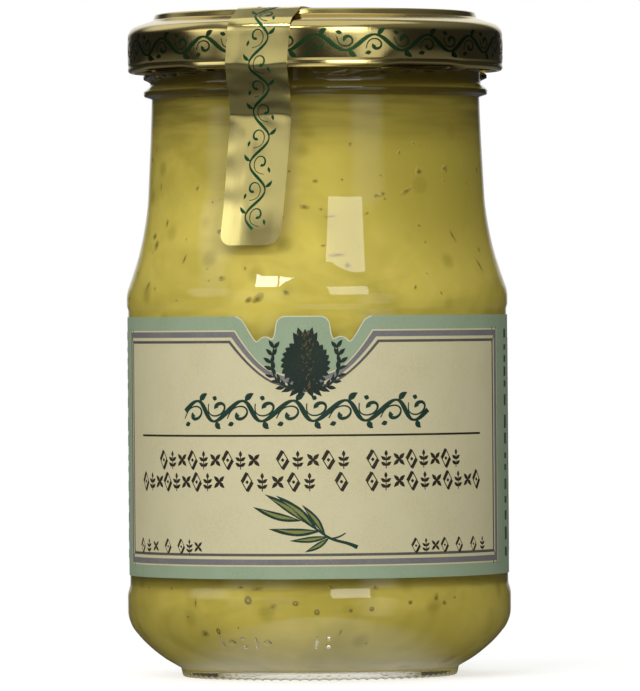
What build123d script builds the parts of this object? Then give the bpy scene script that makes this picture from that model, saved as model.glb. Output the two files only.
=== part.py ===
"""A sealed glass jar of herb mustard: twist-off lid, foil seal strip and wrap-round paper label.

Millimetres, +Z up. The origin is the centre of the base, and the label's middle faces -Y. A heading is an
angle about the jar's axis, 0 at the label's middle and growing towards +X.
"""

import os
from math import atan2, cos, degrees, hypot, radians, sin, tan

from build123d import *

# Glass: heights of each stretch, from the base up
heel_corner = 3.47
heel_blend = 14.4
panel_start = 15.5
panel_height = 44.1
crest_height = 0.7
crest_length = 2.17
shoulder_rise = 11.93
neck_height = 19.5
bead_height = 2.1
bead_foot = 0.4
bead_fall = 0.9
finish_height = 11.4
rim_fall = 2.5
rim_height = 1.6

# Glass: radii
panel_radius = 30.75
bearing_inset = 9.96
bearing_width = 3.0
push_up = 2.4
heel_swell = 0.41
crest_swell = 0.21
finish_radius = 26.9
neck_swell = 0.15
neck_taper = 0.4
bead_depth = 1.05
rim_step = 1.45
wall = 2.4
finish_wall = 2.7
floor = 5.2

# Glass: rounds
heel_round = 14.5
blend_round = 3.0
crest_round = 2.0
shoulder_round = 9.0
neck_sweep = 48.0
floor_round = 9.5
bead_round = 0.35
rim_round = 0.5

# Threads on the finish: four short ribs, each lying in a plane tilted by the lead
thread_depth = 1.17
thread_height = 1.7
thread_sweep = 66.0
thread_lead = 3.4
thread_drop = 9.3
thread_offset = -3.0

# Mustard
headspace = 7.9

# Lid: one drawn sheet with a rolled edge and four lugs
gauge = 0.3
channel_clearance = 0.25
channel_overlap = 0.8
ring_height = 0.6
button_radius = 10.0
button_depth = 0.35
ledge_drop = 1.05
ledge_fall = 1.35
skirt_clearance = 2.13
skirt_height = 9.0
shoulder_corner = 1.4
curl_radius = 0.6
lug_headings = (40, 130, 220, 310)
lug_sweep = 28.0
lug_height = 0.95
lug_fall = 0.55
lug_clearance = 0.18

# Seal strip: foil laminate, glued over the lid and down the neck
glue = 0.05
strip_thickness = 0.12
strip_width = 10.4
strip_length = 40.4
strip_spare = 3.0
strip_end_round = 2.1
strip_far_round = 1.5
strip_heading = -15.0
strip_lean = 4.2
strip_over_centre = 9.0
strip_stand_off = 0.1
strip_leave = 0.2
strip_touchdown = 3.0
strip_skirt_round = 0.6
strip_neck_round = 2.0

# Label: wraps the panel, with a gap at the back and two notches beside a middle tab
label_thickness = 0.1
label_margin = 1.1
label_gap = 7.0
notch_depth = 4.2
notch_inner = 4.3
notch_outer = 10.9
tab_round = 1.5
tab_turn = 84.0

# What follows from those sizes
panel_end = panel_start + panel_height
crest_start = panel_end + crest_height
shoulder_start = crest_start + crest_length
shoulder_end = shoulder_start + shoulder_rise
neck_end = shoulder_end + neck_height
bead_end = neck_end + bead_height
rim_top = bead_end + finish_height
heel_radius = panel_radius + heel_swell
bearing_radius = heel_radius - bearing_inset
push_up_radius = bearing_radius - bearing_width
crest_radius = panel_radius + crest_swell
neck_radius = finish_radius + neck_swell
neck_top_radius = neck_radius - neck_taper
bead_radius = finish_radius + bead_depth
rim_radius = finish_radius - rim_step
bore_radius = finish_radius - finish_wall
inner_radius = panel_radius - wall
thread_radius = finish_radius + thread_depth
fill_level = rim_top - headspace
heel_turn = atan2(bearing_inset, heel_corner)
heel_room = 0.98 * min(hypot(bearing_inset, heel_corner), heel_blend - heel_corner)
shoulder_lean = atan2(crest_radius - neck_radius, shoulder_rise)
neck_lean = atan2(neck_taper, neck_height)
shoulder_run = shoulder_rise / cos(shoulder_lean)

lid_top = rim_top + gauge
ring_outer = rim_radius + channel_clearance + gauge
ring_inner = bore_radius - channel_overlap
panel_level = lid_top - ring_height
ledge_level = lid_top - ledge_drop
skirt_radius = thread_radius + skirt_clearance + gauge
shoulder_level = ledge_level - ledge_fall
lid_bottom = lid_top - ring_height - skirt_height
curl_centre = (skirt_radius - curl_radius, lid_bottom + curl_radius)
lug_radius = thread_radius + lug_clearance


def heading_plane(heading):
    """The upright plane through the jar's axis whose local x points outwards at a heading."""
    angle = radians(heading)
    return Plane((0, 0, 0), x_dir=(sin(angle), -cos(angle), 0), z_dir=(-cos(angle), -sin(angle), 0))


def facing_plane(heading, distance):
    """The upright plane square to a heading, at a distance from the axis on that side."""
    angle = radians(heading)
    outwards = Vector(sin(angle), -cos(angle), 0)
    return Plane(outwards * distance, x_dir=(cos(angle), sin(angle), 0), z_dir=outwards)


def fitted(radius, turn, room):
    """A round's radius, or the largest that a corner of that turn has room for along its runs."""
    return min(radius, room / tan(turn / 2))


def inner_height(radius):
    """The height at which the shoulder's inner face is at a radius."""
    across = wall / cos(shoulder_lean)
    return shoulder_start + (crest_radius - across - radius) / tan(shoulder_lean)


# The neck's sweep is shared by the glass and by the strip glued to it
sweep_round = fitted(neck_sweep, shoulder_lean - neck_lean, 0.6 * shoulder_run)

# The cavity is shared by the glass and by the mustard that fills it
cavity_run = inner_height(bore_radius) - inner_height(inner_radius)
cavity = (
    (0, floor),
    (inner_radius, floor),
    (inner_radius, inner_height(inner_radius)),
    (bore_radius, inner_height(bore_radius)),
)
cavity_rounds = (
    floor_round,
    fitted(shoulder_round - wall, shoulder_lean, 0.2 * cavity_run),
    fitted(neck_sweep + wall, shoulder_lean, 0.6 * cavity_run),
)

with BuildPart() as jar:
    with BuildSketch(Plane.XZ):
        with BuildLine():
            outside = FilletPolyline(
                (push_up_radius, 0),
                (bearing_radius, 0),
                (heel_radius, heel_corner),
                (heel_radius, heel_blend),
                (panel_radius, panel_start),
                (panel_radius, panel_end),
                (crest_radius, crest_start),
                (crest_radius, shoulder_start),
                (neck_radius, shoulder_end),
                (neck_top_radius, neck_end),
                (bead_radius, neck_end + bead_foot),
                (bead_radius, bead_end - bead_fall),
                (finish_radius, bead_end),
                (finish_radius, rim_top - rim_fall),
                (rim_radius, rim_top - rim_height),
                (rim_radius, rim_top),
                radius=(
                    rim_round,
                    fitted(heel_round, heel_turn, heel_room),
                    blend_round,
                    blend_round,
                    crest_round,
                    crest_round,
                    fitted(shoulder_round, shoulder_lean, 0.6 * crest_length),
                    sweep_round,
                    bead_round,
                    bead_round / 2,
                    bead_round,
                    bead_round,
                    rim_round,
                    bead_round,
                ),
            )
            inside = FilletPolyline(*cavity, (bore_radius, rim_top), radius=cavity_rounds)
            rim = Line(outside @ 1, inside @ 1)
            cap_radius = (push_up_radius**2 + push_up**2) / (2 * push_up)
            underside = RadiusArc((0, push_up), (push_up_radius, 0), cap_radius)
            Line(underside @ 0, inside @ 0)
        make_face()
    revolve(axis=Axis.Z)
    fillet(jar.edges().filter_by(GeomType.CIRCLE).group_by(Axis.Z)[-1], rim_round)
    for lug_heading in lug_headings:
        turned = (-thread_lead, 0, lug_heading + thread_offset - 90)
        tilted = Plane(Location((0, 0, rim_top - thread_drop), turned))
        start = tilted.rotated((0, 0, -thread_sweep / 2))
        with BuildSketch(Plane(start.origin, x_dir=start.x_dir, z_dir=-start.y_dir)):
            with BuildLine():
                foot = Line(
                    (finish_radius - wall / 2, -thread_height / 2),
                    (finish_radius - wall / 2, thread_height / 2),
                )
                FilletPolyline(
                    foot @ 1,
                    (finish_radius, thread_height / 2),
                    (thread_radius, thread_height / 6),
                    (thread_radius, -thread_height / 6),
                    (finish_radius, -thread_height / 2),
                    foot @ 0,
                    radius=(0, bead_round, bead_round, 0),
                )
            make_face()
        revolve(axis=Axis(tilted.origin, tilted.z_dir), revolution_arc=thread_sweep)

with BuildPart() as mustard:
    with BuildSketch(Plane.XZ):
        with BuildLine():
            filled = FilletPolyline(*cavity, (bore_radius, fill_level), radius=cavity_rounds)
            Polyline(filled @ 1, (0, fill_level), filled @ 0)
        make_face()
    revolve(axis=Axis.Z)

with BuildPart() as lid:
    with BuildSketch(Plane.XZ):
        with BuildLine():
            FilletPolyline(
                (0, panel_level - button_depth),
                (button_radius - 1.5, panel_level - button_depth),
                (button_radius, panel_level),
                (ring_inner - 1, panel_level),
                (ring_inner, lid_top),
                (ring_outer, lid_top),
                (ring_outer + gauge, ledge_level),
                (skirt_radius, shoulder_level),
                (skirt_radius, curl_centre[1]),
                radius=(
                    2 * gauge,
                    2 * gauge,
                    1.5 * gauge,
                    1.5 * gauge,
                    1.5 * gauge,
                    gauge,
                    shoulder_corner,
                ),
            )
            offset(amount=gauge, side=Side.RIGHT)
        make_face()
        with Locations(curl_centre):
            Circle(curl_radius)
    revolve(axis=Axis.Z)
    for lug_heading in lug_headings:
        with BuildSketch(heading_plane(lug_heading - lug_sweep / 2)):
            with Locations((lug_radius, lid_bottom - lug_fall)):
                lug = Rectangle(curl_centre[0] - lug_radius, lug_height, align=Align.MIN)
            fillet(lug.vertices().sort_by(Axis.X)[:2], lug_height / 4)
        revolve(axis=Axis.Z, revolution_arc=lug_sweep)

with BuildPart() as seal_strip:
    with BuildSketch(heading_plane(strip_heading)):
        with BuildLine():
            touchdown = neck_end - strip_touchdown
            neck_at_touchdown = neck_top_radius + strip_touchdown * tan(neck_lean)
            FilletPolyline(
                (0, lid_top + glue),
                (ring_outer + glue, lid_top + glue),
                (skirt_radius + glue, shoulder_level + 3 * glue),
                (skirt_radius + glue, lid_bottom + strip_leave),
                (bead_radius + strip_stand_off, neck_end),
                (neck_at_touchdown + glue, touchdown),
                (neck_radius + glue, shoulder_end),
                (crest_radius + glue, shoulder_start),
                radius=(
                    shoulder_corner,
                    shoulder_corner,
                    strip_skirt_round,
                    strip_neck_round,
                    strip_neck_round,
                    sweep_round - glue,
                ),
            )
            offset(amount=strip_thickness, side=Side.LEFT)
        make_face()
    revolve(axis=Axis.Z)
    behind = facing_plane(strip_heading, -strip_over_centre)
    with BuildSketch(behind):
        with Locations(Location((0, lid_top + strip_spare - strip_length / 2), -strip_lean)):
            outline = Rectangle(strip_width, strip_length)
        fillet(outline.vertices().sort_by(Axis.Y)[:2], strip_end_round)
    extrude(amount=strip_over_centre + skirt_radius + wall, mode=Mode.INTERSECT)
    far_end = seal_strip.faces().sort_by(Axis((0, 0, 0), behind.z_dir))[0]
    fillet(far_end.edges().sort_by(SortBy.LENGTH)[:2], strip_far_round)

with BuildPart() as label:
    gap_angle = degrees(label_gap / panel_radius)
    with BuildSketch(heading_plane(180 + gap_angle / 2)):
        with Locations((panel_radius + glue, panel_start + label_margin)):
            Rectangle(label_thickness, panel_height - 2 * label_margin, align=Align.MIN)
    revolve(axis=Axis.Z, revolution_arc=360 - gap_angle)
    label_top = panel_end - label_margin
    with BuildSketch(facing_plane(0, 0)):
        with BuildLine():
            flank = notch_outer - notch_inner
            above = label_top + label_margin
            tab = JernArc((notch_inner - tab_round, label_top), (1, 0), tab_round, -tab_turn)
            scallop = ThreePointArc(
                (notch_inner + 0.08 * flank, label_top - 0.9 * notch_depth),
                (notch_inner + 0.28 * flank, label_top - 0.76 * notch_depth),
                (notch_inner + 0.48 * flank, label_top - notch_depth),
            )
            Spline(tab @ 1, scallop @ 0, tangents=(tab % 1, (0.5, -0.9)))
            Spline(scallop @ 1, (notch_outer, label_top), tangents=((0.8, 0.6), (1, 0)))
            Polyline((notch_outer, label_top), (notch_outer, above), ((tab @ 0).X, above), tab @ 0)
        make_face()
        mirror(about=Plane.YZ)
    extrude(amount=panel_radius + wall, mode=Mode.SUBTRACT)

pieces = {"jar": jar, "mustard": mustard, "lid": lid, "seal_strip": seal_strip, "label": label}
os.makedirs("parts", exist_ok=True)
for name, piece in pieces.items():
    piece.part.label = name
    export_step(piece.part, f"parts/{name}.step")
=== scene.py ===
"""Looks of the herb mustard jar: clear glass, mustard, twist-off lid, foil seal strip and paper label.

Every builder works in millimetres round the jar's axis. Its mesh is in metres once it is published.
A heading is an angle about that axis in degrees, 0 at the label's middle (-Y) and growing towards +X.
"""

import logging
import random
from collections.abc import Callable
from dataclasses import dataclass, field
from enum import Enum, auto
from functools import partial
from math import atan2, cos, degrees, hypot, pi, radians, sin, sqrt, tan

import bmesh
import bpy
from bmesh.types import BMEdge, BMesh, BMVert
from bpy.types import Material, Mesh, Node, NodeSocket, NodeTree, Object, World
from mathutils import Matrix, Vector, noise


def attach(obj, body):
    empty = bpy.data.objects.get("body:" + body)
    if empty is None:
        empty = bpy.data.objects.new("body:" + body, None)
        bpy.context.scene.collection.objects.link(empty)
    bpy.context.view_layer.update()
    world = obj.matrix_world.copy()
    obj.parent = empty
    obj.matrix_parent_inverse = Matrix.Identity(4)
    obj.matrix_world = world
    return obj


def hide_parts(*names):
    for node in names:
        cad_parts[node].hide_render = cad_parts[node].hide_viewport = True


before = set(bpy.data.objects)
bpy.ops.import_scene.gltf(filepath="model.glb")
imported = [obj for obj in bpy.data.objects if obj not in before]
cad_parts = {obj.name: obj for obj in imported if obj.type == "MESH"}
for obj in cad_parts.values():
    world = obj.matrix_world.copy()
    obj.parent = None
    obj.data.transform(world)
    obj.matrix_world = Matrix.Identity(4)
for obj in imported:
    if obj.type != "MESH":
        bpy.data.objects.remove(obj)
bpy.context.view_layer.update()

LOG = logging.getLogger("mustard_jar")
MM = 0.001
ROOT = "root"
# Headings of the four thread ribs and of the lid's lugs under them.
LUG_HEADINGS = (40.0, 130.0, 220.0, 310.0)

Point = tuple[float, float]
SpeckPlace = tuple[float, float, float, float, float]
Surface = Callable[[float, float, float], Vector]
NodeAdder = Callable[..., Node]
SMOOTH = {"interpolation_type": "SMOOTHSTEP"}
COLOUR = {"data_type": "RGBA"}


class Slot(Enum):
    """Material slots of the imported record."""

    GLASS = "clear_glass"
    MUSTARD = "mustard"
    TINPLATE = "gold_tinplate"
    FOIL = "gold_foil"
    PAPER = "label_paper"


# ---------------------------------------------------------------- small tools


def srgb(code: str) -> tuple[float, float, float, float]:
    """Turns an sRGB hex colour to linear.

    Args:
        code: The colour as "#rrggbb".

    Returns:
        Linear red, green, blue and a full alpha.
    """
    shares = [int(code[i : i + 2], 16) / 255 for i in (1, 3, 5)]
    linear = [s / 12.92 if s <= 0.04045 else ((s + 0.055) / 1.055) ** 2.4 for s in shares]
    return linear[0], linear[1], linear[2], 1.0


def per_metre(size_mm: float) -> float:
    """Gives the texture scale whose features are size_mm across."""
    return 1.0 / (size_mm * MM)


def add_node(
    tree: NodeTree, kind: str, inputs: dict[str | int, object] | None = None, **settings: object
) -> Node:
    """Adds a node with its inputs and options.

    Args:
        tree: The node tree that gets the node.
        kind: Blender's name for the node type, without "ShaderNode".
        inputs: Inputs by name or number: a socket or a node's first output is linked, a value is set.
        settings: Options of the node.

    Returns:
        The new node.
    """
    made = tree.nodes.new("ShaderNode" + kind)
    for option, value in settings.items():
        setattr(made, option, value)
    for socket, value in (inputs or {}).items():
        source = value.outputs[0] if isinstance(value, Node) else value
        if isinstance(source, NodeSocket):
            tree.links.new(source, made.inputs[socket])
        else:
            made.inputs[socket].default_value = source
    return made


def start_nodes(owner: Material | World) -> tuple[Material | World, NodeAdder]:
    """Empties a new material's or world's nodes.

    Args:
        owner: What has the nodes.

    Returns:
        The owner and the function that adds a node to it.
    """
    owner.use_nodes = True
    owner.node_tree.nodes.clear()
    return owner, partial(add_node, owner.node_tree)


def turned(radius: float, height: float, heading: float) -> Vector:
    """Gives the point at that radius, height and heading in degrees."""
    angle = radians(heading)
    return Vector((radius * sin(angle), -radius * cos(angle), height))


def heading_of(point: Vector) -> float:
    """Gives a point's heading, from 0 to 360 degrees."""
    return degrees(atan2(point.x, -point.y)) % 360


def signed_turn(heading: float, start: float) -> float:
    """Gives the turn from a start to a heading, from -180 to 180 degrees."""
    return (heading - start + 180) % 360 - 180


def between(a: Point, b: Point, share: float) -> Point:
    """Gives the point that lies that share of the way from a to b."""
    return a[0] + share * (b[0] - a[0]), a[1] + share * (b[1] - a[1])


def smoothstep(low: float, high: float, value: float) -> float:
    """Rises smoothly from 0 at low to 1 at high."""
    share = min(max((value - low) / (high - low), 0.0), 1.0)
    return share * share * (3 - 2 * share)


@dataclass(frozen=True)
class Corner:
    """One corner of an outline beside the jar's axis, in mm, with the radius of its round."""

    radius: float
    height: float
    rounding: float = 0.0
    segments: int = 5


def outline(*rows: tuple[float, ...]) -> list[Corner]:
    """Gives an outline's corners from rows of radius, height, rounding and segments."""
    return [Corner(*row) for row in rows]


def round_corner(bm: BMesh, vert: BMVert, offset: float, segments: int) -> None:
    """Rounds one corner of a wire or a flat sheet, from an offset along its edges.

    Args:
        bm: The mesh.
        vert: The corner.
        offset: Distance from the corner to the round's ends.
        segments: Edges of the round.
    """
    bmesh.ops.bevel(
        bm, geom=[vert], offset=offset, offset_type="OFFSET", segments=segments, profile=0.5,
        affect="VERTICES", material=-1
    )


def draw_outline(bm: BMesh, corners: list[Corner]) -> None:
    """Draws an open outline in the plane of heading 90 and rounds its corners.

    Args:
        bm: The mesh that gets the wire.
        corners: The outline's corners in order.
    """
    points = [Vector((c.radius, 0, c.height)) for c in corners]
    verts = [bm.verts.new(p) for p in points]
    for pair in zip(verts, verts[1:]):
        bm.edges.new(pair)
    for i in range(1, len(corners) - 1):
        if corners[i].rounding > 0:
            turn = (points[i] - points[i - 1]).angle(points[i + 1] - points[i])
            round_corner(bm, verts[i], corners[i].rounding * tan(turn / 2), corners[i].segments)


def split_long_edges(bm: BMesh, longest: float, low: float = -1e9, high: float = 1e9) -> None:
    """Cuts every edge longer than that whose middle lies between two heights.

    Args:
        bm: The mesh.
        longest: Greatest length that stays whole.
        low: Lower height.
        high: Upper height.
    """
    by_cuts: dict[int, list[BMEdge]] = {}
    for edge in bm.edges:
        middle = (edge.verts[0].co.z + edge.verts[1].co.z) / 2
        if low <= middle <= high and edge.calc_length() > longest:
            by_cuts.setdefault(int(edge.calc_length() / longest), []).append(edge)
    for cuts, edges in by_cuts.items():
        bmesh.ops.subdivide_edges(bm, edges=edges, cuts=cuts)


def spin_full(bm: BMesh, steps: int) -> None:
    """Spins the wire once round the jar's axis and closes the poles.

    Args:
        bm: A mesh that holds only the wire.
        steps: Faces round the axis.
    """
    bmesh.ops.spin(
        bm, geom=bm.verts[:] + bm.edges[:], cent=(0, 0, 0), axis=(0, 0, 1), dvec=(0, 0, 0), angle=2 * pi,
        steps=steps, use_merge=True, use_duplicate=False
    )
    bmesh.ops.remove_doubles(bm, verts=bm.verts, dist=1e-4)
    bmesh.ops.dissolve_degenerate(bm, edges=bm.edges, dist=1e-5)
    bmesh.ops.recalc_face_normals(bm, faces=bm.faces)


def bend(bm: BMesh, surface: Surface) -> None:
    """Bends a flat mesh onto a surface."""
    for vert in bm.verts:
        vert.co = surface(*vert.co)


def absorb(bm: BMesh, part: BMesh) -> None:
    """Adds a part's mesh to another and frees the part.

    Args:
        bm: The mesh that gets the part.
        part: The part, which is freed.
    """
    mesh = bpy.data.meshes.new("part")
    part.to_mesh(mesh)
    part.free()
    bm.from_mesh(mesh)
    bpy.data.meshes.remove(mesh)


def slice_sheet(bm: BMesh, place: tuple[float, float, float], normal: tuple[float, float, float]) -> None:
    """Cuts a flat sheet by a plane."""
    geom = bm.verts[:] + bm.edges[:] + bm.faces[:]
    bmesh.ops.bisect_plane(bm, geom=geom, dist=1e-5, plane_co=place, plane_no=normal)


def thicken(bm: BMesh, thickness: float) -> None:
    """Turns a flat sheet's faces up and gives it its thickness.

    Args:
        bm: The mesh that holds the sheet.
        thickness: The sheet's thickness.
    """
    for face in bm.faces:
        if face.normal.z < 0:
            face.normal_flip()
    grown = bmesh.ops.extrude_face_region(bm, geom=bm.faces[:])
    raised = [g for g in grown["geom"] if isinstance(g, BMVert)]
    bmesh.ops.translate(bm, verts=raised, vec=(0, 0, thickness))
    bmesh.ops.recalc_face_normals(bm, faces=bm.faces)


def publish(
    bm: BMesh, name: str, materials: list[Material], slot: Slot | None, crease: float = 35.0
) -> Object:
    """Turns a mesh in mm into a piece in metres that rides on the jar.

    Args:
        bm: The finished mesh, which is freed.
        name: The piece's name.
        materials: Its materials, in the order of its material indices.
        slot: The record's slot, or None for a thing of the studio.
        crease: Edges that bend by more degrees stay sharp.

    Returns:
        The new object.
    """
    bmesh.ops.scale(bm, vec=(MM, MM, MM), verts=bm.verts)
    for face in bm.faces:
        face.smooth = True
    for edge in bm.edges:
        if len(edge.link_faces) == 2 and degrees(edge.calc_face_angle(0.0)) > crease:
            edge.smooth = False
    mesh = bpy.data.meshes.new(name)
    bm.to_mesh(mesh)
    bm.free()
    piece = bpy.data.objects.new(name, mesh)
    for material in materials:
        mesh.materials.append(material)
    bpy.context.scene.collection.objects.link(piece)
    if slot is not None:
        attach(piece, ROOT)
    LOG.info("%s: %d faces", name, len(mesh.polygons))
    return piece


# ---------------------------------------------------------------- finishes


@dataclass(frozen=True)
class ContainerGlass:
    """Soda-lime container glass, blown in an iron mould: clear, with slow waves from its cooling skin."""

    ior: float = 1.52
    wave_mm: float = 11.0
    wave_depth_mm: float = 0.012

    def build(self) -> Material:
        """Makes clear glass that lets the studio's lamps through to the mustard.

        Returns:
            The new material.
        """
        material, add = start_nodes(bpy.data.materials.new("soda_lime_glass"))
        place = add("TexCoord").outputs["Object"]
        waves = add("TexNoise", {"Vector": place, "Scale": per_metre(self.wave_mm), "Detail": 1.0})
        skin = add("Bump", {"Height": waves, "Distance": self.wave_depth_mm * MM, "Strength": 1.0})
        glass = add(
            "BsdfPrincipled",
            {
                "Base Color": (1.0, 1.0, 1.0, 1.0), "Roughness": 0.0, "IOR": self.ior,
                "Transmission Weight": 1.0, "Normal": skin
            }
        )
        ray = add("LightPath")
        open_air = add("BsdfTransparent")
        bounced = add("MixShader", {0: ray.outputs["Is Diffuse Ray"], 1: glass, 2: open_air})
        lit = add("MixShader", {0: ray.outputs["Is Shadow Ray"], 1: bounced, 2: open_air})
        add("OutputMaterial", {"Surface": lit})
        return material


@dataclass(frozen=True)
class MustardPaste:
    """Herb mustard: seed paste, vinegar and chopped leaf, smooth and pale, with soft darker drifts."""

    pale: str = "#ecd86c"
    body: str = "#e2ce5a"
    drift: str = "#b5a540"
    painted_neck_shade: str = "#8b7d30"
    # Tones of painted shade: olive up the neck under the lid, darker behind the threads.
    shade: str = "#5a4d0d"
    drift_mm: float = 16.0
    drift_heading: float = 54.0
    curd_mm: float = 2.6
    neck_shade_low_mm: float = 83.2
    neck_shade_high_mm: float = 91.8
    thread_shade_low_mm: float = 92.8
    thread_shade_high_mm: float = 94.8

    def build(self) -> Material:
        """Mixes the paste's tones by slow drifts and smears, with painted shade up the neck, behind the
        threads and under the label's edge.

        Returns:
            The new material.
        """
        material, add = start_nodes(bpy.data.materials.new("mustard_paste"))
        place = add("TexCoord").outputs["Object"]
        flat = add("Mapping", {"Vector": place, "Scale": (1.0, 1.0, 1.8)})
        drifts = add(
            "TexNoise",
            {"Vector": flat, "Scale": per_metre(self.drift_mm), "Detail": 3.0, "Distortion": 0.6}
        )
        curds = add("TexNoise", {"Vector": place, "Scale": per_metre(self.curd_mm), "Detail": 2.0})
        drift_share = add("MapRange", {"Value": drifts, 1: 0.42, 2: 0.72, 3: 0.0, 4: 0.75})
        curd_share = add("MapRange", {"Value": curds, 1: 0.35, 2: 0.75, 3: 0.0, 4: 0.5})
        paste = add("Mix", {0: curd_share, 6: srgb(self.body), 7: srgb(self.pale)}, **COLOUR)
        # Herb pieces deeper in the paste show only as soft spots.
        deep = add(
            "TexVoronoi", {"Vector": place, "Scale": per_metre(7.0), "Smoothness": 0.3},
            feature="SMOOTH_F1"
        )
        spot = add("MapRange", {"Value": deep, 1: 0.07, 2: 0.28, 3: 0.5, 4: 0.0}, **SMOOTH)
        # The paste is darker in one broad patch against the wall at one side of the neck.
        streak_reach = add(
            "VectorMath", {0: place, 1: turned(26, 84, self.drift_heading) * MM}, operation="DISTANCE"
        ).outputs["Value"]
        streak = add("MapRange", {"Value": streak_reach, 1: 8 * MM, 2: 27 * MM, 3: 0.8, 4: 0.0}, **SMOOTH)
        drift_most = add("Math", {0: drift_share, 1: streak}, operation="MAXIMUM")
        drift_total = add("Math", {0: drift_most, 1: spot}, operation="ADD", use_clamp=True)
        drifted = add("Mix", {0: drift_total, 6: paste.outputs[2], 7: srgb(self.drift)}, **COLOUR)
        # The paste smears round the neck as the jar is filled, so its marks there lie level; here they
        # vary the painted shade.
        level = add("Mapping", {"Vector": place, "Scale": (1.0, 1.0, 9.0)})
        smears = add("TexNoise", {"Vector": level, "Scale": per_metre(14.0), "Detail": 2.0})
        height = add("SeparateXYZ", {0: place}).outputs["Z"]
        # Painted shade: the paste is darkened to olive up the neck, where the lid shades it, and darker
        # still behind the threads.
        painted_neck_shade = add(
            "MapRange", {"Value": height, 1: self.neck_shade_low_mm * MM, 2: self.neck_shade_high_mm * MM}, **SMOOTH
        )
        smear_share = add("MapRange", {"Value": smears, 1: 0.3, 2: 0.7, 3: 0.65, 4: 1.1})
        neck_share = add("Math", {0: painted_neck_shade, 1: smear_share}, operation="MULTIPLY", use_clamp=True)
        # Just under the label's lower edge the wall steps in, and the paste behind it gets painted shade.
        label_step_shade_rise = add(
            "MapRange", {"Value": height, 1: 13.8 * MM, 2: 16.0 * MM, 3: 0.0, 4: 0.55}, **SMOOTH
        )
        label_step_shade_fall = add(
            "MapRange", {"Value": height, 1: 17.0 * MM, 2: 21.0 * MM, 3: 1.0, 4: 0.0}, **SMOOTH
        )
        label_step_shade = add("Math", {0: label_step_shade_rise, 1: label_step_shade_fall}, operation="MULTIPLY")
        painted_shade_share = add("Math", {0: neck_share, 1: label_step_shade}, operation="MAXIMUM")
        olive = add("Mix", {0: painted_shade_share, 6: drifted.outputs[2], 7: srgb(self.painted_neck_shade)}, **COLOUR)
        # Painted shade behind the threads, where the lid shades the paste.
        film = add(
            "MapRange",
            {"Value": height, 1: self.thread_shade_low_mm * MM, 2: self.thread_shade_high_mm * MM, 3: 0.0, 4: 1.0},
            **SMOOTH
        )
        tone = add("Mix", {0: film, 6: olive.outputs[2], 7: srgb(self.shade)}, **COLOUR)
        grain = add("Bump", {"Height": curds, "Distance": 0.05 * MM, "Strength": 0.5})
        paste_skin = add(
            "BsdfPrincipled",
            {"Base Color": tone.outputs[2], "Roughness": 0.5, "Specular IOR Level": 0.1, "Normal": grain}
        )
        add("OutputMaterial", {"Surface": paste_skin})
        return material


@dataclass(frozen=True)
class Speck:
    """A small thing held in the paste, dark in its middle and lost in the paste at its rim."""

    name: str
    core: str
    rim: str

    def build(self) -> Material:
        """Fades from the core's colour to the rim's by the piece's own depth attribute.

        Returns:
            The new material.
        """
        material, add = start_nodes(bpy.data.materials.new(self.name))
        depth = add("Attribute", attribute_name="depth")
        place = add("TexCoord").outputs["Object"]
        # A leaf's veins, drawn coarser than they are so that they show.
        fibres = add("TexNoise", {"Vector": place, "Scale": per_metre(0.7), "Detail": 1.0})
        share = add("Math", {0: fibres, 1: 0.5, 2: depth.outputs["Fac"]}, operation="MULTIPLY_ADD")
        fade = add("MapRange", {"Value": share, 1: 0.35, 2: 1.35})
        tone = add("Mix", {0: fade, 6: srgb(self.rim), 7: srgb(self.core)}, **COLOUR)
        leaf = add(
            "BsdfPrincipled",
            {"Base Color": tone.outputs[2], "Roughness": 0.55, "Specular IOR Level": 0.1}
        )
        add("OutputMaterial", {"Surface": leaf})
        return material


@dataclass(frozen=True)
class LacqueredMetal:
    """Thin metal under a clear gold lacquer: a soft mirror, with fine rolling lines along one way."""

    name: str
    colour: str
    roughness: float
    line_mm: float
    line_depth_mm: float
    stretch: float
    roughness_spread: float = 0.12

    def build(self) -> Material:
        """Makes the metal, with its rolling lines and its slow changes of polish.

        Returns:
            The new material.
        """
        material, add = start_nodes(bpy.data.materials.new(self.name))
        place = add("TexCoord").outputs["Object"]
        rolled = add("Mapping", {"Vector": place, "Scale": (1.0, 1.0, 1.0 / self.stretch)})
        # The mill's own lines are finer than a hair, and are drawn this far apart so that they show.
        lines = add("TexNoise", {"Vector": rolled, "Scale": per_metre(self.line_mm), "Detail": 2.0})
        blotches = add("TexNoise", {"Vector": place, "Scale": per_metre(9.0), "Detail": 1.0})
        dull = add(
            "Math", {0: blotches, 1: self.roughness_spread, 2: self.roughness}, operation="MULTIPLY_ADD"
        )
        relief = add("Bump", {"Height": lines, "Distance": self.line_depth_mm * MM, "Strength": 1.0})
        metal = add(
            "BsdfPrincipled",
            {"Base Color": srgb(self.colour), "Metallic": 1.0, "Roughness": dull, "Normal": relief}
        )
        add("OutputMaterial", {"Surface": metal})
        return material


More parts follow.
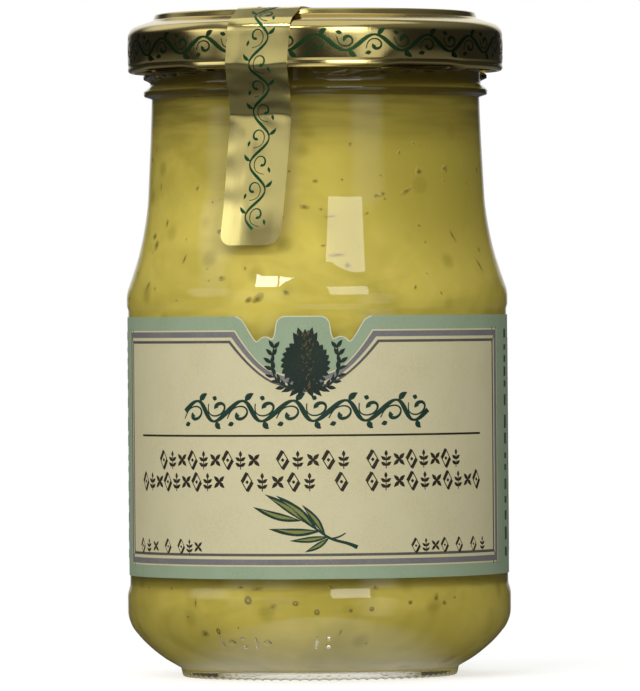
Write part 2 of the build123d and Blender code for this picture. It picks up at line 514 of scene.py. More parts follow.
@dataclass(frozen=True)
class PrintedPaper:
    """Uncoated label paper and the flat inks on it: matt, with faint fibres and an uneven ink film."""

    name: str
    colour: str
    worn: str
    roughness: float = 0.62
    fibre_mm: float = 0.35

    def build(self) -> Material:
        """Makes the ink or paper, its tone moving a little towards the worn colour.

        Returns:
            The new material.
        """
        material, add = start_nodes(bpy.data.materials.new(self.name))
        place = add("TexCoord").outputs["Object"]
        # Paper fibres are a few hundredths of a millimetre wide, and are drawn coarser so that they show.
        fibres = add("TexNoise", {"Vector": place, "Scale": per_metre(self.fibre_mm), "Detail": 2.0})
        clouds = add("TexNoise", {"Vector": place, "Scale": per_metre(6.0), "Detail": 3.0})
        share = add("Math", {0: fibres, 1: clouds}, operation="MULTIPLY")
        wear = add("MapRange", {"Value": share, 1: 0.18, 2: 0.45})
        tone = add("Mix", {0: wear, 6: srgb(self.colour), 7: srgb(self.worn)}, **COLOUR)
        relief = add("Bump", {"Height": fibres, "Distance": 0.008 * MM, "Strength": 0.6})
        sheet = add(
            "BsdfPrincipled",
            {
                "Base Color": tone.outputs[2], "Roughness": self.roughness, "Specular IOR Level": 0.35,
                "Normal": relief
            }
        )
        add("OutputMaterial", {"Surface": sheet})
        return material


class Ink(Enum):
    """Flat colours of the label's print, each with its layer's height over the paper in mm."""

    CREAM = ("cream_ink", "#e2d9af", "#dbd1a4", 0.015)
    # Pale line along the label's cut edge: the paper's bare edge, with a painted highlight along it.
    EDGE_HIGHLIGHT = ("cut_edge_painted_highlight", "#e9e4c8", "#ddd6b4", 0.012)
    BAND = ("grey_band_ink", "#7d7b7c", "#8d8b87", 0.030)
    LINE = ("grey_line_ink", "#5c5a54", "#6f6c62", 0.030)
    RULE = ("brown_black_ink", "#2a2213", "#3a301c", 0.035)
    GREEN = ("dark_green_ink", "#15382a", "#1f4433", 0.040)
    WREATH = ("wreath_green_ink", "#1b2a21", "#26372b", 0.045)
    LEAF = ("leaf_green_ink", "#8d9150", "#7f8648", 0.060)
    GOLD = ("antique_gold_ink", "#6d5c36", "#554829", 0.070)
    BORDER = ("border_mark_ink", "#3f5746", "#4d6553", 0.030)

    def __init__(self, title: str, colour: str, worn: str, lift: float) -> None:
        """Names the ink's parts."""
        self.title, self.colour, self.worn, self.lift = title, colour, worn, lift

    def finish(self) -> Material:
        """Makes this ink's material."""
        return PrintedPaper(self.title, self.colour, self.worn).build()


# ---------------------------------------------------------------- flat artwork


@dataclass(frozen=True)
class Stroke:
    """A pen stroke drawn flat, in mm: the points it runs past and its width at each."""

    points: tuple[Point, ...]
    widths: tuple[float, ...]

    def moved(self, along: float, up: float, scale: float = 1.0, slant: float = 0.0) -> "Stroke":
        """Gives the stroke scaled, slanted and then moved."""
        points = tuple((along + (x + slant * y) * scale, up + y * scale) for x, y in self.points)
        return Stroke(points, tuple(w * scale for w in self.widths))

    def mirrored(self) -> "Stroke":
        """Gives the stroke turned left for right."""
        return Stroke(tuple((-x, y) for x, y in self.points), self.widths)

    def turned(self, angle: float) -> "Stroke":
        """Gives the stroke turned about the origin by an angle in degrees."""
        c, s = cos(radians(angle)), sin(radians(angle))
        return Stroke(tuple((x * c - y * s, x * s + y * c) for x, y in self.points), self.widths)


def leaf(root: Point, tip: Point, width: float, bow: float = 0.0) -> Stroke:
    """Draws a pointed leaf from root to tip.

    Args:
        root: Where it leaves its stem.
        tip: Its point.
        width: Its greatest width.
        bow: How far its middle is pushed to its left.

    Returns:
        The leaf as one stroke.
    """
    along = Vector((tip[0] - root[0], tip[1] - root[1]))
    side = Vector((-along.y, along.x)).normalized() * bow
    shares = (0.0, 0.2, 0.45, 0.7, 0.88, 1.0)
    swell = (0.12, 0.75, 1.0, 0.72, 0.35, 0.04)
    points = tuple(
        (
            root[0] + along.x * t + side.x * 4 * t * (1 - t),
            root[1] + along.y * t + side.y * 4 * t * (1 - t)
        )
        for t in shares
    )
    return Stroke(points, tuple(width * s for s in swell))


def dot(centre: Point, size: float) -> Stroke:
    """Draws a round dot as a short fat stroke.

    Args:
        centre: Its middle.
        size: Its diameter.

    Returns:
        The dot as one stroke.
    """
    x, y = centre
    return Stroke(
        ((x - size / 2, y), (x - size * 0.3, y), (x, y), (x + size * 0.3, y), (x + size / 2, y)),
        (0.1 * size, 0.8 * size, 1.15 * size, 0.8 * size, 0.1 * size)
    )


def scroll_wave(pitch: float, height: float, weight: float) -> list[Stroke]:
    """Draws one wave of a running vine scroll, with a curl and leaves in each half.

    Args:
        pitch: Length of the wave.
        height: Full height of the band.
        weight: Greatest width of a stroke.

    Returns:
        Its strokes, from 0 to pitch.
    """
    strokes: list[Stroke] = []
    swing = 0.30 * height
    count = 12
    stem = tuple((pitch * i / count, swing * sin(2 * pi * i / count)) for i in range(count + 1))
    swell = tuple(weight * (0.35 + 0.55 * abs(cos(2 * pi * i / count))) for i in range(count + 1))
    strokes.append(Stroke(stem, swell))
    for half, side in ((0.25, 1.0), (0.75, -1.0)):
        centre = (pitch * half + 0.02 * pitch, -side * 0.10 * height)
        curl = []
        for i in range(11):
            share = i / 10
            angle = radians(200 - 400 * share) if side > 0 else radians(-200 + 400 * share)
            reach = height * (0.36 * (1 - share) + 0.07)
            curl.append((centre[0] + reach * cos(angle) * 0.9, centre[1] + reach * sin(angle) * 0.75))
        thin_to_bud = tuple(weight * (0.22 + 0.75 * (i / 10) ** 2) for i in range(11))
        strokes.append(Stroke(tuple(curl), thin_to_bud))
        stem_at = (pitch * (half + 0.06), side * swing * 0.95)
        tip = (pitch * (half + 0.19), side * 0.5 * height)
        strokes.append(leaf(stem_at, tip, weight * 1.15, 0.04 * height * side))
        low = (pitch * (half - 0.17), -side * 0.40 * height)
        strokes.append(leaf((pitch * (half - 0.06), -side * 0.34 * height), low, weight * 0.9, 0.0))
    return strokes


@dataclass
class Artwork:
    """Flat print for one ink: strokes and shapes in mm, along by up, bent onto a surface at the end."""

    lift: float
    strokes: list[Stroke] = field(default_factory=list)
    shapes: list[list[list[Point]]] = field(default_factory=list)

    def draw(self, *strokes: Stroke) -> None:
        """Adds strokes."""
        self.strokes.extend(strokes)

    def fill(self, *outlines: list[Point]) -> None:
        """Adds a filled shape; the outlines after the first are its holes."""
        self.shapes.append(list(outlines))

    def _stroke_mesh(self) -> Mesh:
        """Turns the strokes into one mesh of closed ribbons.

        Returns:
            The mesh, flat in x and y.
        """
        curve = bpy.data.curves.new("strokes", "CURVE")
        curve.dimensions = "3D"
        curve.bevel_depth = 0.5
        curve.bevel_resolution = 0
        curve.use_fill_caps = True
        curve.resolution_u = 3
        for stroke in self.strokes:
            spline = curve.splines.new("NURBS")
            spline.points.add(len(stroke.points) - 1)
            for point, (x, y), width in zip(spline.points, stroke.points, stroke.widths):
                point.co = (x, y, 0.0, 1.0)
                point.radius = width
            spline.order_u = 3
            spline.use_endpoint_u = True
        holder = bpy.data.objects.new("strokes", curve)
        bpy.context.scene.collection.objects.link(holder)
        bpy.context.view_layer.update()
        solid = holder.evaluated_get(bpy.context.evaluated_depsgraph_get())
        mesh = bpy.data.meshes.new_from_object(solid)
        bpy.data.objects.remove(holder)
        bpy.data.curves.remove(curve)
        return mesh

    def build(self, surface: Surface, pitch: float = 1.5) -> BMesh:
        """Bends the artwork onto a surface.

        Args:
            surface: Gives the place of a point from its along, up and lift.
            pitch: Greatest length along the bend that stays straight.

        Returns:
            The closed print in mm, to be published.
        """
        bm = bmesh.new()
        for outlines in self.shapes:
            fill_shape(bm, outlines, self.lift, pitch)
        if self.strokes:
            mesh = self._stroke_mesh()
            inked = bmesh.new()
            inked.from_mesh(mesh)
            bpy.data.meshes.remove(mesh)
            # The round ribbon becomes a film, its lower half on the paper and its upper at the ink's lift.
            for vert in inked.verts:
                share = 1.0 if vert.co.z > 1e-6 else 0.35 if vert.co.z > -1e-6 else 0.0
                vert.co.z = share * self.lift
            bmesh.ops.recalc_face_normals(inked, faces=inked.faces)
            absorb(bm, inked)
        bend(bm, surface)
        return bm


def fill_shape(bm: BMesh, outlines: list[list[Point]], lift: float, pitch: float) -> None:
    """Adds a flat filled shape with holes to a mesh, cut in columns and given its thickness.

    Args:
        bm: The mesh that gets it.
        outlines: The outer outline, then any holes.
        lift: Its thickness in mm.
        pitch: Spacing of the cuts.
    """
    part = bmesh.new()
    edges: list[BMEdge] = []
    for points in outlines:
        ring = [part.verts.new((x, y, 0)) for x, y in points]
        edges += [part.edges.new(pair) for pair in zip(ring, ring[1:] + ring[:1])]
    bmesh.ops.triangle_fill(part, edges=edges, use_beauty=True, use_dissolve=False)
    low = min(v.co.x for v in part.verts)
    high = max(v.co.x for v in part.verts)
    for step in range(int(low / pitch) - 1, int(high / pitch) + 2):
        slice_sheet(part, (step * pitch, 0, 0), (1, 0, 0))
    thicken(part, lift)
    absorb(bm, part)


def rectangle(left: float, low: float, right: float, high: float) -> list[Point]:
    """Gives a rectangle's outline, anticlockwise from the lower left."""
    return [(left, low), (right, low), (right, high), (left, high)]


def arc_points(centre: Point, radius: float, start: float, end: float, count: int) -> list[Point]:
    """Gives points on an arc, from a start to an end angle in degrees."""
    angles = [radians(start + (end - start) * i / count) for i in range(count + 1)]
    return [(centre[0] + radius * cos(a), centre[1] + radius * sin(a)) for a in angles]


# ---------------------------------------------------------------- glass jar


class Sign(Enum):
    """Plain moulded signs of the heel."""

    DOT = auto()
    BAR = auto()
    PAIR = auto()


@dataclass
class GlassJar:
    """The blown jar: heel, label panel, shoulder, neck, transfer bead and finish, with its inner wall."""

    steps: int = 264
    knurl_height: float = 0.24
    knurl_columns: int = 3
    knurl_inner: float = 17.6
    knurl_outer: float = 22.4
    knurl_top: float = 1.2
    thread_depth: float = 1.17
    thread_height: float = 1.7
    thread_sweep: float = 66.0
    thread_lead: float = 3.4
    thread_middle: float = 98.1
    thread_shift: float = -3.0
    thread_low: float = 96.0
    thread_high: float = 102.0
    bore_limit: float = 26.5
    finish_radius: float = 26.9
    mark_height: float = 6.4
    mark_radius: float = 29.14
    heel_lean: float = 38.8
    signs: tuple[tuple[float, Sign], ...] = (
        (-14.2, Sign.BAR), (-12.3, Sign.DOT), (-10.3, Sign.PAIR), (-8.2, Sign.BAR), (-6.2, Sign.DOT),
        (1.6, Sign.BAR), (3.6, Sign.PAIR)
    )

    def corners(self) -> list[Corner]:
        """Gives the outline from the push-up's middle round the outside and down the bore.

        Returns:
            The outline's corners in order.
        """
        return outline(
            (0, 2.9), (12.0, 2.6, 30, 6), (17.4, 2.1, 0.6, 4), (17.6, 0.0, 0.4, 3), (22.3, 0.0, 0.5, 4),
            (22.6, 1.45, 0.3, 3), (27.2, 4.05, 18, 8), (31.14, 8.9, 5.0, 10), (31.16, 13.6, 3.0, 5),
            (30.75, 15.0, 1.5, 3), (30.75, 59.6, 1.0, 3), (30.96, 60.3, 1.0, 3), (30.98, 62.35, 5.0, 10),
            (30.13, 64.75, 14.0, 4), (27.63, 72.35, 42, 14), (26.87, 87.5, 60, 3), (26.65, 93.9, 0.18, 3),
            (27.95, 94.3, 0.35, 4), (27.95, 95.1, 0.35, 4), (26.9, 96.0, 0.35, 3), (26.9, 104.9, 0.35, 3),
            (25.45, 105.8, 0.35, 3), (25.45, 107.4, 0.5, 4), (24.2, 107.4, 0.5, 4), (24.2, 75.4, 40, 10),
            (28.35, 62.7, 14, 10), (28.35, 5.2, 9.5, 14), (0, 5.2)
        )

    def thread_push(self, point: Vector) -> float:
        """Gives how far a point of the finish stands out on one of the four thread ribs.

        Args:
            point: A point of the smooth wall.

        Returns:
            The distance in mm, 0 beside the ribs.
        """
        heading = heading_of(point) - self.thread_shift
        half = self.thread_sweep / 2
        rise = self.finish_radius * tan(radians(self.thread_lead))
        push = 0.0
        for lug in LUG_HEADINGS:
            away = signed_turn(heading, lug)
            if abs(away) > half:
                continue
            level = self.thread_middle + rise * sin(radians(away))
            across = abs(point.z - level) / (self.thread_height / 2)
            ends = smoothstep(0, 5, half - abs(away))
            push = max(push, self.thread_depth * ends * (1 - smoothstep(0.35, 1.0, across)))
        return push

    def build(self) -> BMesh:
        """Spins the wall, then raises the threads and the stippled bearing ring.

        Returns:
            The glass wall in mm.
        """
        bm = bmesh.new()
        draw_outline(bm, self.corners())
        split_long_edges(bm, 0.28, 96.0, 101.0)
        split_long_edges(bm, 0.8, -1.0, 1.8)
        split_long_edges(bm, 2.2)
        spin_full(bm, self.steps)
        for vert in bm.verts:
            reach = hypot(vert.co.x, vert.co.y)
            if reach > self.bore_limit and self.thread_low < vert.co.z < self.thread_high:
                grown = 1 + self.thread_push(vert.co) / reach
                vert.co.x *= grown
                vert.co.y *= grown
            if vert.co.z < self.knurl_top and self.knurl_inner < reach < self.knurl_outer:
                column = round(heading_of(vert.co) / (360 / self.steps))
                wave = 0.5 - 0.5 * cos(2 * pi * column / self.knurl_columns)
                near = 1 - smoothstep(0.5, self.knurl_top, vert.co.z)
                vert.co.z += self.knurl_height * wave * near
        return bm

    def heel_surface(self, x: float, up: float, lift: float) -> Vector:
        """Places a mark on the heel's slope, by arc along, distance up the slope and lift.

        Args:
            x: Arc along the heel.
            up: Distance up the slope.
            lift: Height over the glass.

        Returns:
            The point in mm.
        """
        lean = radians(self.heel_lean)
        reach = self.mark_radius + up * sin(lean)
        heading = degrees(x / self.mark_radius)
        outward = turned(1, 0, heading) * cos(lean) - Vector((0, 0, sin(lean)))
        return turned(reach, self.mark_height + up * cos(lean), heading) + outward * lift

    def marks(self) -> BMesh:
        """Draws the moulder's raised signs on the heel as plain dots and bars.

        Returns:
            The signs in mm.
        """
        art = Artwork(0.22)
        for place, sign in self.signs:
            if sign is Sign.DOT:
                art.draw(dot((place, 0.0), 1.3))
            elif sign is Sign.BAR:
                art.draw(leaf((place, -1.4), (place + 0.25, 1.4), 0.6))
            else:
                art.draw(dot((place, 0.9), 0.8), dot((place, -0.9), 0.8))
        return art.build(self.heel_surface)

    def dress(self) -> None:
        """Publishes the glass and its moulded marks."""
        glass = ContainerGlass().build()
        wall = publish(self.build(), "jar_glass", [glass], Slot.GLASS, crease=50)
        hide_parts("jar")
        publish(self.marks(), "heel_marks", [glass], Slot.GLASS)


# ---------------------------------------------------------------- mustard


@dataclass
class MustardFill:
    """The paste that fills the jar, a hair into its wall so that no air shows, with herbs and bubbles."""

    steps: int = 192
    bite: float = 0.05
    fill_level: float = 99.5
    heel_top: float = 14.7
    wall_reach: float = 28.40
    neck_low: float = 82.0
    neck_reach: float = 24.25
    seed: int = 7

    def corners(self) -> list[Corner]:
        """Gives the fill's outline from its middle below to its middle above.

        Returns:
            The outline's corners in order.
        """
        b = self.bite
        return outline(
            (0, 5.2 - b), (28.35 + b, 5.2 - b, 9.5, 14), (28.35 + b, 62.7, 14, 10),
            (24.2 + b, 75.4, 40, 10), (24.2 + b, self.fill_level + 0.5, 0.8, 4),
            (20.0, self.fill_level - 0.4, 2.0, 4), (0, self.fill_level)
        )

    def reach_at(self, height: float) -> float:
        """Gives the paste's radius at a height.

        Args:
            height: The height above the table.

        Returns:
            The radius in mm.
        """
        if height < self.heel_top:
            drop = self.heel_top - height
            return self.wall_reach - 9.55 + sqrt(max(9.55 * 9.55 - drop * drop, 0.0))
        if height < 62.0:
            return self.wall_reach
        if height < 64.5:
            return self.wall_reach - 0.45 * smoothstep(61.5, 65.5, height)
        if height < 70.5:
            return 27.98 - (height - 64.5) * (27.98 - 25.9) / 6.0
        if height < self.neck_low:
            share = (self.neck_low - height) / 11.5
            return self.neck_reach + 1.65 * share**1.9
        return self.neck_reach

    def specks(self, places: list[SpeckPlace], name: str, finish: Speck, hollow: bool) -> Object:
        """Makes one joined piece of flattened specks on the paste's skin.

        Args:
            places: Heading, height, length, share of width and turn of each speck.
            name: The piece's name.
            finish: The specks' finish.
            hollow: Whether it is an air bubble: a pale middle in a ring of painted shade.

        Returns:
            The published piece.
        """
        draw = random.Random(self.seed)
        bm = bmesh.new()
        layer = bm.verts.layers.float.new("depth")
        for heading, height, length, slim, turn in places:
            made = bmesh.ops.create_icosphere(bm, subdivisions=2, radius=1.0)["verts"]
            reach = self.reach_at(height) + 0.01
            lean = self.reach_at(height + 0.5) - self.reach_at(height - 0.5)
            outward = (turned(1, 0, heading) - Vector((0, 0, lean))).normalized()
            across = turned(1, 0, heading + 90)
            up = outward.cross(across).normalized()
            if up.z < 0:
                up = -up
            spin = Matrix.Rotation(radians(turn), 3, "Z")
            offset = Vector((draw.random(), draw.random(), draw.random())) * 20
            for vert in made:
                flat = spin @ Vector((vert.co.x * length / 2, vert.co.y * length * slim / 2, 0))
                if not hollow:
                    flat *= 1 + 0.55 * noise.noise(vert.co * 1.4 + offset)
                rim = hypot(vert.co.x, vert.co.y)
                tall = 0.07 * vert.co.z
                # A bubble's dark ring is painted shade; a herb's dark middle is its own colour.
                vert[layer] = (4 * rim * (1 - rim) if hollow else 1 - rim) if vert.co.z > 0 else 0.0
                vert.co = turned(reach, height, heading) + across * flat.x + up * flat.y + outward * tall
        bmesh.ops.recalc_face_normals(bm, faces=bm.faces)
        return publish(bm, name, [finish.build()], Slot.MUSTARD, crease=80)

    def herb_places(self) -> list[SpeckPlace]:
        """Gives the chopped leaf seen through the glass: the large ones listed, the rest scattered.

        Returns:
            Heading, height, length, share of width and turn of each piece of leaf.
        """
        draw = random.Random(self.seed)
        near = [
            (-31.0, 72.0, 1.5, 0.55, 20.0), (-27.5, 64.4, 1.2, 0.7, 0.0), (-14.5, 61.3, 2.1, 0.6, 35.0),
            (-45.0, 67.5, 1.8, 0.25, 75.0), (-15.5, 81.2, 2.4, 0.8, 10.0), (9.2, 74.2, 2.3, 0.16, 3.0),
            (11.2, 68.0, 2.8, 0.2, 4.0), (14.5, 66.4, 1.1, 0.8, 0.0), (4.0, 80.0, 0.9, 0.8, 0.0),
            (6.0, 75.4, 0.7, 0.9, 0.0), (26.5, 77.6, 1.6, 0.5, -10.0), (29.0, 77.9, 1.0, 0.9, 0.0),
            (38.5, 78.3, 2.6, 0.3, 30.0), (44.5, 81.5, 1.5, 0.9, 20.0), (36.0, 84.5, 1.2, 0.5, 60.0),
            (58.0, 71.0, 3.0, 0.3, -55.0), (70.0, 66.0, 2.4, 0.3, -65.0), (-62.0, 63.0, 1.8, 0.5, 70.0),
            (-21.0, 15.2, 1.3, 0.6, 0.0), (-38.0, 12.6, 1.6, 0.3, 80.0), (-15.5, 14.9, 2.2, 0.5, 5.0),
            (-10.5, 12.2, 1.8, 0.6, 50.0), (22.0, 15.0, 1.4, 0.8, 0.0), (47.0, 12.4, 1.0, 0.8, 0.0)
        ]
        for _ in range(170):
            length = 0.45 + 1.5 * draw.random() ** 2.6
            zone = draw.random()
            if zone < 0.68:
                height = 60.5 + 26 * draw.random()
            elif zone < 0.9:
                height = 6.5 + 10.0 * draw.random()
            else:
                height = 17.0 + 42.0 * draw.random()
            heading = 360 * draw.random() if height < 17 or height > 60 else 175.5 + 9 * draw.random()
            near.append((heading, height, length, 0.3 + 0.6 * draw.random(), 180 * draw.random()))
        return near

    def dress(self) -> None:
        """Publishes the paste, its herbs and its bubbles."""
        bm = bmesh.new()
        draw_outline(bm, self.corners())
        split_long_edges(bm, 2.5)
        spin_full(bm, self.steps)
        paste = publish(bm, "mustard_paste", [MustardPaste().build()], Slot.MUSTARD)
        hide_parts("mustard")
        self.specks(self.herb_places(), "herb_flecks", Speck("chopped_leaf", "#5f5a1e", "#c9b552"), False)
        # Air bubbles are flat discs whose dark ring is painted shade in place of a hollow.
        bubbles = [
            (-18.5, 13.1, 1.5, 0.95, 0.0), (-3.2, 12.7, 1.2, 0.85, 0.0), (3.5, 11.3, 1.0, 1.2, 0.0),
            (14.2, 11.5, 0.7, 1.0, 0.0), (21.0, 11.7, 0.9, 1.0, 0.0), (-31.0, 9.0, 0.9, 1.1, 0.0),
            (34.0, 12.6, 0.8, 0.9, 0.0), (150.0, 11.0, 1.1, 1.0, 0.0), (205.0, 12.4, 1.3, 1.0, 0.0),
            (250.0, 10.2, 0.9, 1.0, 0.0), (100.0, 12.0, 1.0, 1.0, 0.0)
        ]
        self.specks(bubbles, "air_bubbles", Speck("air_bubble", "#6e6222", "#d2bf60"), True)


# ---------------------------------------------------------------- lid


@dataclass
class TwistLid:
    """The twist-off lid: drawn tinplate with a raised ring, a button, a curled edge and four lugs."""

    steps: int = 240
    gauge: float = 0.3
    skirt_radius: float = 30.5
    curl_radius: float = 0.6
    curl_centre: Point = (29.9, 98.7)
    lug_sweep: float = 28.0
    press_low: float = 98.6
    press_high: float = 101.3
    press_top: float = 101.5
    press_in: float = 0.32
    curl_press_in: float = 0.55
    press_up: float = 0.34
    taper_from: float = 102.2
    taper: float = 0.026
    print_clearance: float = 0.006
    band_middle: float = 102.0
    band_height: float = 4.4
    waves: int = 20

    def corners(self) -> list[Corner]:
        """Gives the sheet's outer face from the button's middle to the curl.

        Returns:
            The outline's corners in order.
        """
        return outline(
            (0, 106.75), (8.5, 106.75, 0.9, 4), (10.0, 107.1, 0.9, 4), (22.4, 107.1, 0.5, 4),
            (23.4, 107.7, 0.45, 4), (26.0, 107.7, 0.4, 5), (26.3, 106.65, 0.35, 4),
            (30.42, 105.3, 1.8, 8), (30.5, 102.2, 40, 4), (30.5, 99.6, 0.25, 3), (30.4, 99.2, 0.2, 2),
            (30.5, 98.7, 0.12, 1)
        )

    def curl_corners(self) -> list[Corner]:
        """Gives the rolled edge, from the skirt's foot round to the inside."""
        r, (x, z) = self.curl_radius, self.curl_centre
        return [Corner(x + r * cos(radians(a)), z + r * sin(radians(a))) for a in range(15, -285, -20)]

    def lug_share(self, heading: float) -> float:
        """Gives 1 in the middle of a lug, falling to 0 past its ends."""
        away = min(abs(signed_turn(heading, lug)) for lug in LUG_HEADINGS)
        return 1 - smoothstep(self.lug_sweep * 0.28, self.lug_sweep * 0.62, away)

    def build(self) -> BMesh:
        """Spins the sheet, gives it its gauge and presses the lugs in from the curl.

        Returns:
            The sheet with its rolled edge, in mm.
        """
        bm = bmesh.new()
        draw_outline(bm, self.corners())
        split_long_edges(bm, 0.9)
        spin_full(bm, self.steps)
        for face in bm.faces:
            if face.normal.dot(face.calc_center_median() - Vector((0, 0, 95))) < 0:
                face.normal_flip()
        bmesh.ops.solidify(bm, geom=bm.faces[:], thickness=self.gauge)
        bmesh.ops.recalc_face_normals(bm, faces=bm.faces)
        curl = bmesh.new()
        draw_outline(curl, self.curl_corners() + [self.curl_corners()[0]])
        bmesh.ops.remove_doubles(curl, verts=curl.verts, dist=1e-3)
        spin_full(curl, self.steps)
        absorb(bm, curl)
        for vert in bm.verts:
            if vert.co.z > self.press_top:
                continue
            reach = hypot(vert.co.x, vert.co.y)
            share = self.lug_share(heading_of(vert.co)) * (
                1 - smoothstep(self.press_low, self.press_high, vert.co.z)
            )
            inner = 1 - smoothstep(29.2, 30.2, reach)
            drawn = 1 - (self.press_in * share + self.curl_press_in * share * inner) / reach
            vert.co.x *= drawn
            vert.co.y *= drawn
            vert.co.z += self.press_up * share * (1 - inner)
        return bm

    def lug_tongues(self) -> BMesh:
        """Makes the four lugs that reach in under the threads.

        Returns:
            The four lugs in mm.
        """
        bm = bmesh.new()
        for lug in LUG_HEADINGS:
            part = bmesh.new()
            draw_outline(
                part,
                outline(
                    (29.9, 98.35), (28.6, 98.45, 0.25, 3), (28.25, 98.1, 0.2, 3), (28.4, 97.62, 0.2, 3),
                    (29.9, 97.75)
                )
            )
            bmesh.ops.rotate(
                part, verts=part.verts, cent=(0, 0, 0),
                matrix=Matrix.Rotation(radians(lug - 90 - 14), 3, "Z")
            )
            bmesh.ops.spin(
                part, geom=part.verts[:] + part.edges[:], cent=(0, 0, 0), axis=(0, 0, 1), dvec=(0, 0, 0),
                angle=radians(self.lug_sweep), steps=14, use_merge=False, use_duplicate=False
            )
            bmesh.ops.holes_fill(part, edges=[e for e in part.edges if e.is_boundary], sides=0)
            bmesh.ops.recalc_face_normals(part, faces=part.faces)
            absorb(bm, part)
        return bm

    def skirt_surface(self, along: float, up: float, lift: float) -> Vector:
        """Places print on the skirt, by arc along, height from the band's middle and lift.

        Args:
            along: Arc along the skirt.
            up: Height over the band's middle.
            lift: Height over the lacquer.

        Returns:
            The point in mm.
        """
        height = self.band_middle + up
        drawn_in = self.taper * max(0.0, height - self.taper_from)
        reach = self.skirt_radius - drawn_in + self.print_clearance + lift
        return turned(reach, height, degrees(along / self.skirt_radius))

    def print_band(self) -> BMesh:
        """Draws the running scroll printed round the skirt.

        Returns:
            The print in mm.
        """
        art = Artwork(0.012)
        pitch = 2 * pi * self.skirt_radius / self.waves
        wave = scroll_wave(pitch, self.band_height, 0.8)
        for i in range(self.waves):
            for stroke in wave:
                art.draw(stroke.moved(i * pitch, 0.0))
        return art.build(self.skirt_surface)

    def dress(self) -> None:
        """Publishes the lid and its print."""
        # Electrolytic tinplate under gold lacquer, with the mill's rolling lines upright on the skirt.
        gold = LacqueredMetal("gold_tinplate", "#c9b878", 0.11, 0.28, 0.0045, 30.0, 0.10).build()
        sheet = publish(self.build(), "lid_shell", [gold], Slot.TINPLATE)
        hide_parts("lid")
        publish(self.lug_tongues(), "lid_lugs", [gold], Slot.TINPLATE)
        # Transparent offset ink over the lacquer keeps some of the metal's shine.
        ink = LacqueredMetal("lid_green_ink", "#2c4a2a", 0.32, 0.28, 0.003, 30.0).build()
        publish(self.print_band(), "lid_print", [ink], Slot.TINPLATE)


# ---------------------------------------------------------------- seal strip


